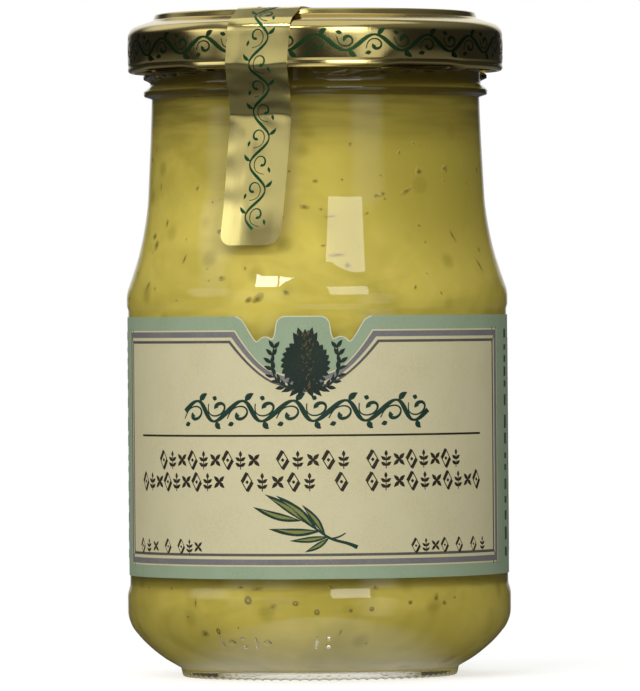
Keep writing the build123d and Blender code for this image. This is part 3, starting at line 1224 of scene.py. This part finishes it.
@dataclass
class SealStrip:
    """The foil strip glued over the lid and down the neck; it tears when the lid is turned."""

    heading: float = -15.0
    lean: float = 4.2
    width: float = 10.4
    pivot: float = 90.5
    thickness: float = 0.12
    low_end: float = 70.1
    far_reach: float = 9.0
    flat_radius: float = 26.05
    low_round: float = 2.1
    far_round: float = 1.5
    slice_along: float = 0.55
    slice_across: float = 0.66
    print_clearance: float = 0.022
    path: list[Point] = field(default_factory=list)
    lengths: list[float] = field(default_factory=list)

    def __post_init__(self) -> None:
        """Samples the line that the strip's middle follows, from its far end to the shoulder."""
        bm = bmesh.new()
        draw_outline(
            bm,
            outline(
                (-self.far_reach, 107.75), (self.flat_radius, 107.75, 1.2, 6), (30.48, 105.40, 1.9, 6),
                (30.55, 98.35, 0.7, 4), (28.05, 93.9, 2.0, 5), (26.90, 90.9, 2.0, 5),
                (26.93, 87.5, 60, 3), (27.69, 72.35, 42, 14), (31.03, 62.4)
            )
        )
        split_long_edges(bm, 0.7)
        vert = min((v for v in bm.verts if len(v.link_edges) == 1), key=lambda v: v.co.x)
        seen: set[BMVert] = set()
        while vert is not None:
            self.path.append((vert.co.x, vert.co.z))
            seen.add(vert)
            onward = [e.other_vert(vert) for e in vert.link_edges if e.other_vert(vert) not in seen]
            vert = onward[0] if onward else None
        bm.free()
        self.lengths = [0.0]
        for a, b in zip(self.path, self.path[1:]):
            self.lengths.append(self.lengths[-1] + hypot(b[0] - a[0], b[1] - a[1]))

    def at(self, along: float) -> tuple[Point, Point]:
        """Gives the path's point and its outward normal at a length along it.

        Args:
            along: Length along the path.

        Returns:
            The point and the normal, each as radius and height.
        """
        along = min(max(along, 0.0), self.lengths[-1] - 1e-6)
        low = max(i for i, length in enumerate(self.lengths[:-1]) if length <= along)
        (ra, za), (rb, zb) = self.path[low], self.path[low + 1]
        share = (along - self.lengths[low]) / (self.lengths[low + 1] - self.lengths[low])
        step = hypot(rb - ra, zb - za)
        return between(self.path[low], self.path[low + 1], share), (-(zb - za) / step, (rb - ra) / step)

    def surface(self, across: float, along: float, lift: float) -> Vector:
        """Places a point of the strip, by distance across, length along and lift.

        Args:
            across: Distance from the strip's middle line.
            along: Length along the path.
            lift: Height over what it lies on.

        Returns:
            The point in mm.
        """
        (reach, height), (out, up) = self.at(along)
        crumple = noise.noise(Vector((across * 0.30, along * 0.26, 3.7)))
        free = smoothstep(88, 92, height) * (1 - smoothstep(98.2, 99.5, height))
        ripple = 0.10 * crumple + 0.26 * free * noise.noise(Vector((across * 0.25, along * 0.5, 9.1)))
        below_lid = smoothstep(69, 74, height) * (1 - smoothstep(86, 90, height))
        crease = 0.13 * smoothstep(1.9, 0.0, abs(across + 0.9)) * below_lid
        lift += max(0.0, 0.035 + ripple) + crease
        reach += out * lift
        height += up * lift
        side = across + (height - self.pivot) * tan(radians(self.lean))
        if reach > self.flat_radius:
            depth = sqrt(max(reach * reach - side * side, 0.0))
        else:
            depth = reach * sqrt(self.flat_radius**2 - side * side) / self.flat_radius
        return turned(depth, height, self.heading) + turned(side, 0, self.heading + 90)

    def total(self) -> float:
        """Gives the strip's length along its path, down to its lower end."""
        return next(length for length, (_, z) in zip(self.lengths, self.path) if z < self.low_end)

    def sheet(self) -> BMesh:
        """Cuts the strip flat, rounds its ends, slices and thickens it and lays it on the jar.

        Returns:
            The foil in mm.
        """
        bm = bmesh.new()
        half, length = self.width / 2, self.total()
        corners = [bm.verts.new((x, y, 0)) for x, y in rectangle(-half, 0, half, length)]
        bm.faces.new(corners)
        for vert, size in zip(corners, (self.far_round, self.far_round, self.low_round, self.low_round)):
            round_corner(bm, vert, size, 6)
        for row in range(1, int(length / self.slice_along) + 1):
            slice_sheet(bm, (0, row * self.slice_along, 0), (0, 1, 0))
        for column in range(-7, 8):
            slice_sheet(bm, (column * self.slice_across, 0, 0), (1, 0, 0))
        thicken(bm, self.thickness)
        bend(bm, self.surface)
        return bm

    def vine(self) -> BMesh:
        """Draws the green vine printed along the strip.

        Returns:
            The print in mm.
        """
        art = Artwork(0.010)
        pitch = 8.4
        wave = scroll_wave(pitch, 5.0, 0.52)
        start = self.total() - 2.6
        for i in range(int((start - 1.0) / pitch)):
            for stroke in wave:
                art.draw(
                    Stroke(
                        tuple((0.4 - y, start - i * pitch - x) for x, y in stroke.points), stroke.widths
                    )
                )
        face = self.thickness + self.print_clearance
        return art.build(lambda across, along, lift: self.surface(across, along, face + lift))

    def dress(self) -> None:
        """Publishes the strip and its print."""
        # Aluminium foil on paper under gold lacquer: brighter and a little rougher than the lid.
        foil = LacqueredMetal("gold_foil", "#e0d187", 0.15, 0.35, 0.005, 6.0, 0.08).build()
        strip = publish(self.sheet(), "seal_strip_foil", [foil], Slot.FOIL)
        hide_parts("seal_strip")
        # Green ink over the foil's lacquer: duller than the metal, with a little of its shine.
        ink = LacqueredMetal("strip_green_ink", "#2a5f3e", 0.38, 0.35, 0.004, 6.0).build()
        publish(self.vine(), "seal_strip_print", [ink], Slot.FOIL)


# ---------------------------------------------------------------- label


@dataclass
class WrapLabel:
    """The paper label: sage border, cream field in a double frame, wreath, scroll, rows and a sprig."""

    inner_radius: float = 30.80
    thickness: float = 0.10
    bottom: float = 16.6
    top: float = 58.5
    gap: float = 7.0
    notch_inner: float = 4.3
    notch_outer: float = 10.9
    notch_depth: float = 4.2
    notch_shares: tuple[Point, ...] = (
        (0.02, 0.62), (0.08, 0.90), (0.17, 0.80), (0.28, 0.76), (0.39, 0.84), (0.48, 1.0), (0.58, 0.80),
        (0.68, 0.55), (0.79, 0.24), (0.88, 0.06), (1.0, 0.0)
    )
    wreath_middle: Point = (0.4, 50.8)
    frame_half: float = 39.3
    frame_bottom: float = 18.85
    frame_top: float = 56.05
    band: float = 0.9
    gap_width: float = 0.5
    line: float = 0.42
    rows: tuple[tuple[float, float, float, tuple[Point, ...]], ...] = (
        (34.1, 2.95, 0.6, ((-27.6, -7.0), (-4.6, 7.6), (10.0, 28.0))),
        (30.6, 2.95, 0.6, ((-33.2, -13.2), (-10.6, 2.2), (4.8, 7.2), (9.8, 33.2))),
        (20.5, 2.4, 0.44, ((-34.6, -27.8), (-26.6, -24.4), (-23.2, -17.6))),
        (20.5, 2.4, 0.44, ((17.6, 25.2), (26.4, 28.6), (29.8, 35.0)))
    )
    prints: dict[Ink, Artwork] = field(default_factory=dict)

    @property
    def radius(self) -> float:
        """The label's outer radius."""
        return self.inner_radius + self.thickness

    @property
    def half_length(self) -> float:
        """Half the label's length round the jar."""
        return pi * self.radius - self.gap / 2

    def art(self, ink: Ink) -> Artwork:
        """Gives the artwork of one ink."""
        return self.prints.setdefault(ink, Artwork(ink.lift))

    def surface(self, along: float, up: float, lift: float) -> Vector:
        """Places a point of the print, by arc along, height and lift."""
        return turned(self.radius + lift, up, degrees(along / self.radius))

    def arc(self, across: float) -> float:
        """Turns a distance seen from the front into a length along the paper."""
        return self.radius * atan2(across, sqrt(self.radius**2 - across**2))

    def notch(self) -> list[Point]:
        """Gives the right-hand notch's edge, from the tab's top out to the label's top edge.

        Returns:
            The edge's points, from the middle outwards.
        """
        flank, top, depth = self.notch_outer - self.notch_inner, self.top, self.notch_depth
        tab = arc_points((self.notch_inner - 1.5, top - 1.5), 1.5, 90, 6, 6)
        dip = [
            (self.notch_inner + across * flank, top - down * depth) for across, down in self.notch_shares
        ]
        return [(self.arc(x), y) for x, y in tab + dip]

    def paper_outline(self) -> list[Point]:
        """Gives the die-cut outline, anticlockwise from the lower left.

        Returns:
            The outline's points.
        """
        right = self.notch()
        left = [(-x, y) for x, y in right]
        half, corner = self.half_length, 1.2
        return [
            (-half + corner, self.bottom), (half - corner, self.bottom), (half, self.bottom + corner),
            (half, self.top - corner), (half - corner, self.top), *reversed(right), *left,
            (-half + corner, self.top), (-half, self.top - corner), (-half, self.bottom + corner)
        ]

    def paper(self) -> BMesh:
        """Cuts the paper and bends it round the panel.

        Returns:
            The paper in mm.
        """
        bm = bmesh.new()
        fill_shape(bm, [self.paper_outline()], self.thickness, 1.5)
        bend(bm, lambda along, up, lift: self.surface(along, up, lift - self.thickness))
        return bm

    def frame_outline(self, inset: float) -> list[Point]:
        """Gives the frame's outline at an inset: a rectangle whose top sweeps down round the wreath.

        Args:
            inset: Distance inside the frame's outer edge.

        Returns:
            The outline's points.
        """
        half = self.frame_half - inset
        low = self.frame_bottom + inset
        high = self.frame_top - inset
        shoulder = 11.35 + 0.55 * inset
        foot = 5.0 - 0.55 * inset
        dip_bottom = 49.6 - 1.15 * inset
        sweep = [
            (shoulder - (shoulder - foot) * i / 8, high - (high - dip_bottom) * (1 - (1 - i / 8) ** 1.45))
            for i in range(9)
        ]
        under = [(foot * 0.5, dip_bottom - 0.9), (0.0, dip_bottom - 1.2)]
        right = sweep + under
        return [
            (-half, low), (half, low), (half, high), *right, *[(-x, y) for x, y in reversed(right[:-1])],
            (-half, high)
        ]

    def draw_frame(self) -> None:
        """Fills the cream field and prints the grey band and the fine line inside it."""
        line_start = self.band + self.gap_width
        self.art(Ink.CREAM).fill(self.frame_outline(-0.25))
        self.art(Ink.BAND).fill(self.frame_outline(0.0), self.frame_outline(self.band))
        self.art(Ink.LINE).fill(
            self.frame_outline(line_start), self.frame_outline(line_start + self.line)
        )
        # A thin pale line along the top cut edge: the paper's bare edge, and a painted highlight where it
        # catches the light.
        cut = self.paper_outline()
        top = [p for p in cut if p[1] > self.top - 4.5 and abs(p[0]) < self.half_length - 2]
        self.art(Ink.EDGE_HIGHLIGHT).draw(Stroke(tuple((x, y - 0.06) for x, y in top), (0.17,) * len(top)))
        for side in (-1, 1):
            for level, sense in ((self.frame_bottom + 0.9, 1), (self.frame_top - 0.9, -1)):
                x = side * (self.frame_half - 0.9)
                for dx in (-0.9, 0.9):
                    points = ((x - dx, level - 1.3 * sense), (x, level), (x + dx, level + 1.3 * sense))
                    self.art(Ink.LINE).draw(Stroke(points, (0.3, 0.2, 0.3)))

    def beside_wreath(self, point: Point, side: int) -> Point:
        """Places a point given from the wreath's middle, on its right (1) or its left (-1)."""
        return self.wreath_middle[0] + side * point[0], self.wreath_middle[1] + point[1]

    def draw_wreath(self) -> None:
        """Prints two laurel branches round a plain leafy bunch, flecked with antique gold."""
        art = self.art(Ink.WREATH)
        x, y = self.wreath_middle
        art.fill([(x + 3.3 * cos(radians(a)), y + 3.5 * sin(radians(a))) for a in range(0, 360, 12)])
        for i in range(26):
            angle = radians(i * 360 / 26)
            root = (x + 2.9 * cos(angle), y + 3.1 * sin(angle))
            art.draw(leaf(root, (x + 4.0 * cos(angle + 0.09), y + 4.3 * sin(angle + 0.09)), 1.0))
        for angle, size in ((58, 2.9), (74, 3.4), (90, 3.0), (106, 3.4), (122, 2.9)):
            tip = (x + 1.25 * size * cos(radians(angle)), y + 2.6 + size * sin(radians(angle)))
            art.draw(leaf((x, y + 1.8), tip, 1.7))
        for angle, size in ((200, 3.6), (222, 3.0), (245, 2.4), (295, 2.4), (318, 3.0), (340, 3.6)):
            tip = (x + 1.15 * size * cos(radians(angle)), y - 3.3 + 0.9 * size * sin(radians(angle)))
            art.draw(leaf((x, y - 2.6), tip, 1.25))
        for side in (-1, 1):
            spine = [(1.0, -4.1), (3.4, -3.7), (5.1, -2.0), (5.6, 0.2), (5.1, 2.6)]
            art.draw(
                Stroke(tuple(self.beside_wreath(p, side) for p in spine), (0.5, 0.45, 0.4, 0.35, 0.2))
            )
            for i in range(9):
                share = i / 8
                low = int(min(share * 4, 3))
                part = share * 4 - low
                root = between(spine[low], spine[low + 1], part)
                lean = radians(15 + 85 * share)
                for spread, size in ((-0.75, 1.5), (0.55, 1.45)):
                    tip = (root[0] + size * cos(lean + spread), root[1] + size * sin(lean + spread))
                    ends = (self.beside_wreath(root, side), self.beside_wreath(tip, side))
                    art.draw(leaf(*ends, 0.7, 0.06 * side))
        draw = random.Random(21)
        gold = self.art(Ink.GOLD)
        for _ in range(46):
            across = draw.gauss(x + 0.25, 0.6)
            up = y - 4.2 + 9.0 * draw.random()
            tip = (across + draw.uniform(-0.3, 0.5), up + draw.uniform(0.25, 0.8))
            gold.draw(leaf((across, up), tip, 0.28))

    def draw_scroll(self) -> None:
        """Prints the running vine scroll in the place of honour under the wreath."""
        art = self.art(Ink.GREEN)
        pitch, height = 8.4, 5.6
        wave = scroll_wave(pitch, height, 0.92)
        for i in range(5):
            for stroke in wave:
                art.draw(stroke.moved(-21.0 + i * pitch, 43.4, 1.0, 0.3))

    def draw_row(
        self, ink: Ink, low: float, height: float, groups: tuple[Point, ...], weight: float
    ) -> None:
        """Prints a row of seed, lozenge and sprig ornaments.

        Args:
            ink: Its ink.
            low: Its lower edge.
            height: Its height.
            groups: Start and end of each group of ornaments.
            weight: Greatest stroke width.
        """
        art = self.art(ink)
        step = 0.74 * height
        for start, end in groups:
            count = max(int((end - start) / step), 1)
            for i in range(count):
                x = start + (end - start) * (i + 0.5) / count
                for stroke in self.ornament(i, height, weight):
                    art.draw(stroke.moved(x, low + height / 2))

    @staticmethod
    def ornament(index: int, height: float, weight: float) -> list[Stroke]:
        """Gives one ornament of a row, centred on the origin.

        Args:
            index: Its place in the row, which chooses one of three kinds.
            height: Its height.
            weight: Greatest stroke width.

        Returns:
            Its strokes.
        """
        h, w = height / 2, 0.30 * height
        thin = 0.3 * weight
        if index % 3 == 0:
            corners = ((0.0, h), (w, 0.0), (0.0, -h), (-w, 0.0), (0.0, h))
            sides = [
                Stroke((a, between(a, b, 0.5), b), (t, t, t))
                for a, b, t in zip(corners, corners[1:], (thin, weight, thin, weight))
            ]
            return sides + [dot((0.0, 0.0), 0.9 * weight)]
        if index % 3 == 1:
            stem = Stroke(((0.0, -h), (0.03, 0.0), (0.0, h * 0.5)), (thin, thin, thin))
            seeds = [
                leaf((0.0, y), (s * w, y + 0.42 * h), weight) for y in (-0.7 * h, -0.1 * h)
                for s in (-1, 1)
            ]
            return [stem, *seeds, leaf((0.0, 0.35 * h), (0.0, h), weight)]
        tips = arc_points((0.0, 0.0), 0.92 * h, 45, 315, 3)
        return [*(leaf((0.0, 0.0), tip, 1.15 * weight) for tip in tips), dot((0.0, 0.0), 0.8 * weight)]

    def draw_sprig(self) -> None:
        """Prints a cut herb sprig: narrow leaves outlined in dark green and filled with leaf green."""
        dark, fill = self.art(Ink.GREEN), self.art(Ink.LEAF)
        fork = (3.9, 23.1)
        dark.draw(
            Stroke(
                ((8.5, 21.6), (7.3, 22.2), (5.5, 22.6), fork, (1.4, 25.0), (-1.8, 26.8)),
                (0.7, 0.5, 0.45, 0.4, 0.35, 0.2)
            ),
            Stroke((fork, (5.2, 22.9), (6.6, 23.9)), (0.25, 0.35, 0.2))
        )
        leaves = (
            ((3.3, 23.7), (-0.3, 28.4), 1.15, -0.25), ((2.0, 24.6), (-4.45, 29.9), 1.35, -0.35),
            ((0.4, 25.6), (-6.3, 30.1), 1.30, -0.30), ((-0.6, 25.9), (-8.3, 28.1), 1.30, 0.35),
            ((2.4, 24.2), (-5.7, 24.6), 1.35, 0.35), ((3.8, 23.3), (-2.3, 22.7), 1.05, 0.15),
            ((3.9, 23.1), (0.1, 20.9), 1.00, 0.20)
        )
        for root, tip, width, bow in leaves:
            dark.draw(leaf(root, tip, width, bow))
            fill.draw(leaf(between(root, tip, 0.12), between(root, tip, 0.84), width * 0.52, bow * 0.95))

    def draw_back(self) -> None:
        """Prints the plain side panels: cream fields with rows of bars in the place of small print."""
        for side in (-1, 1):
            left, right = sorted((side * 49.0, side * 88.5))
            self.art(Ink.CREAM).fill(rectangle(left, 19.6, right, 55.4))
            self.art(Ink.LINE).fill(
                rectangle(left + 0.6, 20.2, right - 0.6, 54.8),
                rectangle(left + 0.9, 20.5, right - 0.9, 54.5)
            )
            draw = random.Random(5 + side)
            for row in range(11):
                y = 51.6 - row * 2.75
                if row in (3, 7):
                    continue
                x = left + 3.0
                stop = right - 3.0 - (9.0 * draw.random() if row in (2, 6, 10) else 0.0)
                while x < stop - 1.2:
                    end = min(x + draw.uniform(1.6, 6.0), stop)
                    self.art(Ink.RULE).fill(rectangle(x, y, end, y + 0.85))
                    x = end + 0.8
        draw = random.Random(11)
        y = 19.4
        while y < 55.0:
            size = draw.uniform(0.8, 2.2)
            for x in (-44.6, 44.6):
                self.art(Ink.BORDER).fill(rectangle(x - 0.75, y, x + 0.75, y + size))
            y += size + draw.uniform(0.7, 1.6)

    def dress(self) -> None:
        """Publishes the paper and one piece for each ink."""
        # Uncoated paper printed all over in one sage ink: matt and a little uneven.
        sage = PrintedPaper("sage_label_paper", "#a3b696", "#9bae8c")
        paper = publish(self.paper(), "label_paper", [sage.build()], Slot.PAPER)
        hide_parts("label")
        self.draw_frame()
        self.draw_wreath()
        self.draw_scroll()
        self.art(Ink.RULE).fill(rectangle(-33.2, 39.3, 33.2, 39.62))
        for low, height, weight, groups in self.rows:
            self.draw_row(Ink.RULE, low, height, groups, weight)
        self.draw_sprig()
        self.draw_back()
        for ink, art in self.prints.items():
            publish(art.build(self.surface), f"label_{ink.title}", [ink.finish()], Slot.PAPER)


# ---------------------------------------------------------------- studio


@dataclass(frozen=True)
class SoftBox:
    """A soft box seen from the jar: its direction and apparent size in degrees, and its radiance."""

    name: str
    azimuth: float
    elevation: float
    width: float
    height: float
    radiance: float
    roll: float = 0.0
    mirrored: bool = True
    distance: float = 1.0
    aim_height: float = 0.06

    def build(self, front: float) -> None:
        """Hangs the box so that it faces the jar's middle.

        Args:
            front: Heading of the camera, from which the box's azimuth is counted.
        """
        size_x = 2 * self.distance * tan(radians(self.width / 2))
        size_y = 2 * self.distance * tan(radians(self.height / 2))
        light = bpy.data.lights.new(self.name, "AREA")
        light.shape = "RECTANGLE"
        light.size = size_x
        light.size_y = size_y
        light.energy = self.radiance * pi * size_x * size_y
        lamp = bpy.data.objects.new(self.name, light)
        flat = self.distance * cos(radians(self.elevation))
        middle = Vector((0, 0, self.aim_height))
        place = turned(flat, self.distance * sin(radians(self.elevation)), front + self.azimuth) + middle
        lamp.location = place
        facing = (place - middle).to_track_quat("Z", "Y").to_matrix()
        lamp.rotation_euler = (facing @ Matrix.Rotation(radians(self.roll), 3, "Z")).to_euler()
        lamp.visible_camera = False
        lamp.visible_glossy = self.mirrored
        bpy.context.scene.collection.objects.link(lamp)


@dataclass(frozen=True)
class Glow:
    """A soft patch of light on the room's wall: direction and half widths in degrees, and radiance."""

    azimuth: float
    elevation: float
    inner: float
    outer: float
    radiance: float

    def shine(self, add: NodeAdder, place: NodeSocket, front: float) -> Node:
        """Adds the patch to the room's shader.

        Args:
            add: Adds a node to the room's tree.
            place: The direction looked in.
            front: Heading of the camera, from which the patch's azimuth is counted.

        Returns:
            The node that gives the patch's strength in that direction.
        """
        flat = turned(1, 0, front + self.azimuth) * cos(radians(self.elevation))
        toward = flat + Vector((0, 0, sin(radians(self.elevation))))
        nearness = add("VectorMath", {0: place, 1: toward}, operation="DOT_PRODUCT").outputs["Value"]
        inner, outer = cos(radians(self.inner)), cos(radians(self.outer))
        return add(
            "MapRange", {"Value": nearness, 1: outer, 2: inner, 3: 0.0, 4: self.radiance}, **SMOOTH
        )


@dataclass(frozen=True)
class Studio:
    """A pale floor that fades into a white room, soft boxes and the camera."""

    floor_radius: float = 0.2
    camera_heading: float = 4.35
    camera_distance: float = 1.35
    camera_height: float = 0.0586
    aim_height: float = 0.05366
    aim_right: float = 0.00041
    roll: float = 0.46
    lens: float = 432.0
    floor_glow: float = 0.32
    glows: tuple[Glow, ...] = (
        Glow(-72, 18, 6, 18, 1.9), Glow(36, 2, 5, 15, 1.1), Glow(-49, 10, 7, 17, 0.8),
        Glow(-25, 10, 6, 17, 0.85), Glow(10, -27, 12, 24, 1.0), Glow(180, 20, 12, 28, 1.2),
        Glow(-135, 38, 8, 24, 1.0)
    )

    def floor(self) -> None:
        """Lays the floor disc."""
        bm = bmesh.new()
        bmesh.ops.create_circle(bm, cap_ends=True, radius=self.floor_radius / MM, segments=96)
        material, add = start_nodes(bpy.data.materials.new("white_floor"))
        place = add("TexCoord").outputs["Object"]
        reach = add("VectorMath", {0: place}, operation="LENGTH").outputs["Value"]
        fade = add("MapRange", {"Value": reach, 1: 0.045, 2: 0.17, 3: 0.0, 4: 1.0}, **SMOOTH)
        # White background board: matt, and a little bright of itself so that it stays pale to its edge.
        matt = add(
            "BsdfPrincipled",
            {
                "Base Color": srgb("#e2e2e0"), "Roughness": 0.9, "Specular IOR Level": 0.1,
                "Emission Color": (1.0, 1.0, 1.0, 1.0), "Emission Strength": 0.5
            }
        )
        # Painted light: for rays the glass mirrors or bends, the floor glows as a bright strip before and
        # under the jar, dim beside it; it is no lamp.
        across = add(
            "VectorMath", {0: place, 1: turned(1, 0, self.camera_heading + 90)}, operation="DOT_PRODUCT"
        ).outputs["Value"]
        beside = add("Math", {0: across}, operation="ABSOLUTE")
        mirrored = add("MapRange", {"Value": beside, 1: 0.010, 2: 0.026, 3: 1.3, 4: 0.03}, **SMOOTH)
        bent = add("MapRange", {"Value": beside, 1: 0.0042, 2: 0.0052, 3: 1.5, 4: 0.12}, **SMOOTH)
        ray = add("LightPath")
        through = add(
            "Mix", {0: ray.outputs["Is Transmission Ray"], 2: mirrored, 3: bent}, data_type="FLOAT"
        )
        # The strip glows of itself, as painted light for the glass to show.
        glowing = add("Emission", {"Strength": through})
        seen = add("MixShader", {0: ray.outputs["Is Camera Ray"], 1: glowing, 2: matt})
        away = add("BsdfTransparent")
        mixed = add("MixShader", {0: fade, 1: seen, 2: away})
        # Light that bounces off matt things passes the floor by, so the heel isn't lit from below by it.
        bounced = add("MixShader", {0: ray.outputs["Is Diffuse Ray"], 1: mixed, 2: away})
        add("OutputMaterial", {"Surface": bounced})
        publish(bm, "studio_floor", [material], None)

    def room(self) -> None:
        """Sets the room: white for the camera, dim low down and pale overhead for everything else."""
        world, add = start_nodes(bpy.data.worlds.new("studio_room"))
        place = add("TexCoord").outputs["Generated"]
        height = add("SeparateXYZ", {0: place}).outputs["Z"]
        above = add("MapRange", {"Value": height, 1: 0.1, 2: 0.95, 3: 0.03, 4: 0.3}, **SMOOTH)
        below = add("MapRange", {"Value": height, 1: -0.35, 2: 0.0, 3: self.floor_glow, 4: 0.0}, **SMOOTH)
        ray = add("LightPath")
        hush = add("MapRange", {"Value": ray.outputs["Is Glossy Ray"], 1: 0.0, 2: 1.0, 3: 1.0, 4: 0.45})
        low = add("Math", {0: below, 1: hush}, operation="MULTIPLY")
        strength = add("Math", {0: above, 1: low}, operation="ADD")
        for glow in self.glows:
            share = glow.shine(add, place, self.camera_heading)
            strength = add("Math", {0: strength, 1: share}, operation="ADD")
        dim = add("Background", {"Strength": strength})
        white = add("Background", {"Strength": 1.0, "Color": (1, 1, 1, 1)})
        mixed = add("MixShader", {0: ray.outputs["Is Camera Ray"], 1: dim, 2: white})
        add("OutputWorld", {"Surface": mixed})
        bpy.context.scene.world = world

    def camera(self) -> None:
        """Sets the camera at the eye height of the jar's middle."""
        data = bpy.data.cameras.new("camera")
        data.lens = self.lens
        data.sensor_width = 36.0
        data.sensor_fit = "AUTO"
        data.clip_start = 0.1
        data.clip_end = 20.0
        eye = turned(self.camera_distance, self.camera_height, self.camera_heading)
        right = turned(1, 0, self.camera_heading + 90)
        aim = right * self.aim_right + Vector((0, 0, self.aim_height))
        back = (eye - aim).normalized()
        side = Vector((0, 0, 1)).cross(back).normalized()
        up = back.cross(side)
        tilt = radians(self.roll)
        leaned_up = up * cos(tilt) + side * sin(tilt)
        leaned_side = leaned_up.cross(back)
        eye_object = bpy.data.objects.new("camera", data)
        facing = Matrix((leaned_side, leaned_up, back)).transposed().to_4x4()
        eye_object.matrix_world = Matrix.Translation(eye) @ facing
        bpy.context.scene.collection.objects.link(eye_object)
        bpy.context.scene.camera = eye_object

    def dress(self) -> None:
        """Builds the floor, the room, the lights and the camera."""
        self.floor()
        self.room()
        self.camera()
        boxes = (
            SoftBox("window_box", 19.5, 22.6, 23, 25.8, 4.6),
            SoftBox("streak_box_left", -34.5, 37.6, 12.2, 5, 13.0, roll=8.1),
            SoftBox("streak_box_right", -17.5, 39.7, 13.4, 5, 13.0, roll=8.5),
            SoftBox("upper_left_fill", -26, 45.5, 36, 24.5, 0.8, mirrored=False),
            SoftBox("front_fill", -55, 14, 40, 30, 0.9, mirrored=False),
            SoftBox("back_fill", 180, 48, 60, 40, 0.5, mirrored=False),
            SoftBox("overhead_box", -20, 84, 60, 60, 0.7)
        )
        for box in boxes:
            box.build(self.camera_heading)
        bpy.context.scene.view_settings.view_transform = "Standard"


def main() -> None:
    """Builds and dresses every piece in order."""
    logging.basicConfig(level=logging.INFO, format="%(name)s: %(message)s")
    Studio().dress()
    GlassJar().dress()
    MustardFill().dress()
    TwistLid().dress()
    SealStrip().dress()
    WrapLabel().dress()


if __name__ == "__main__":
    main()
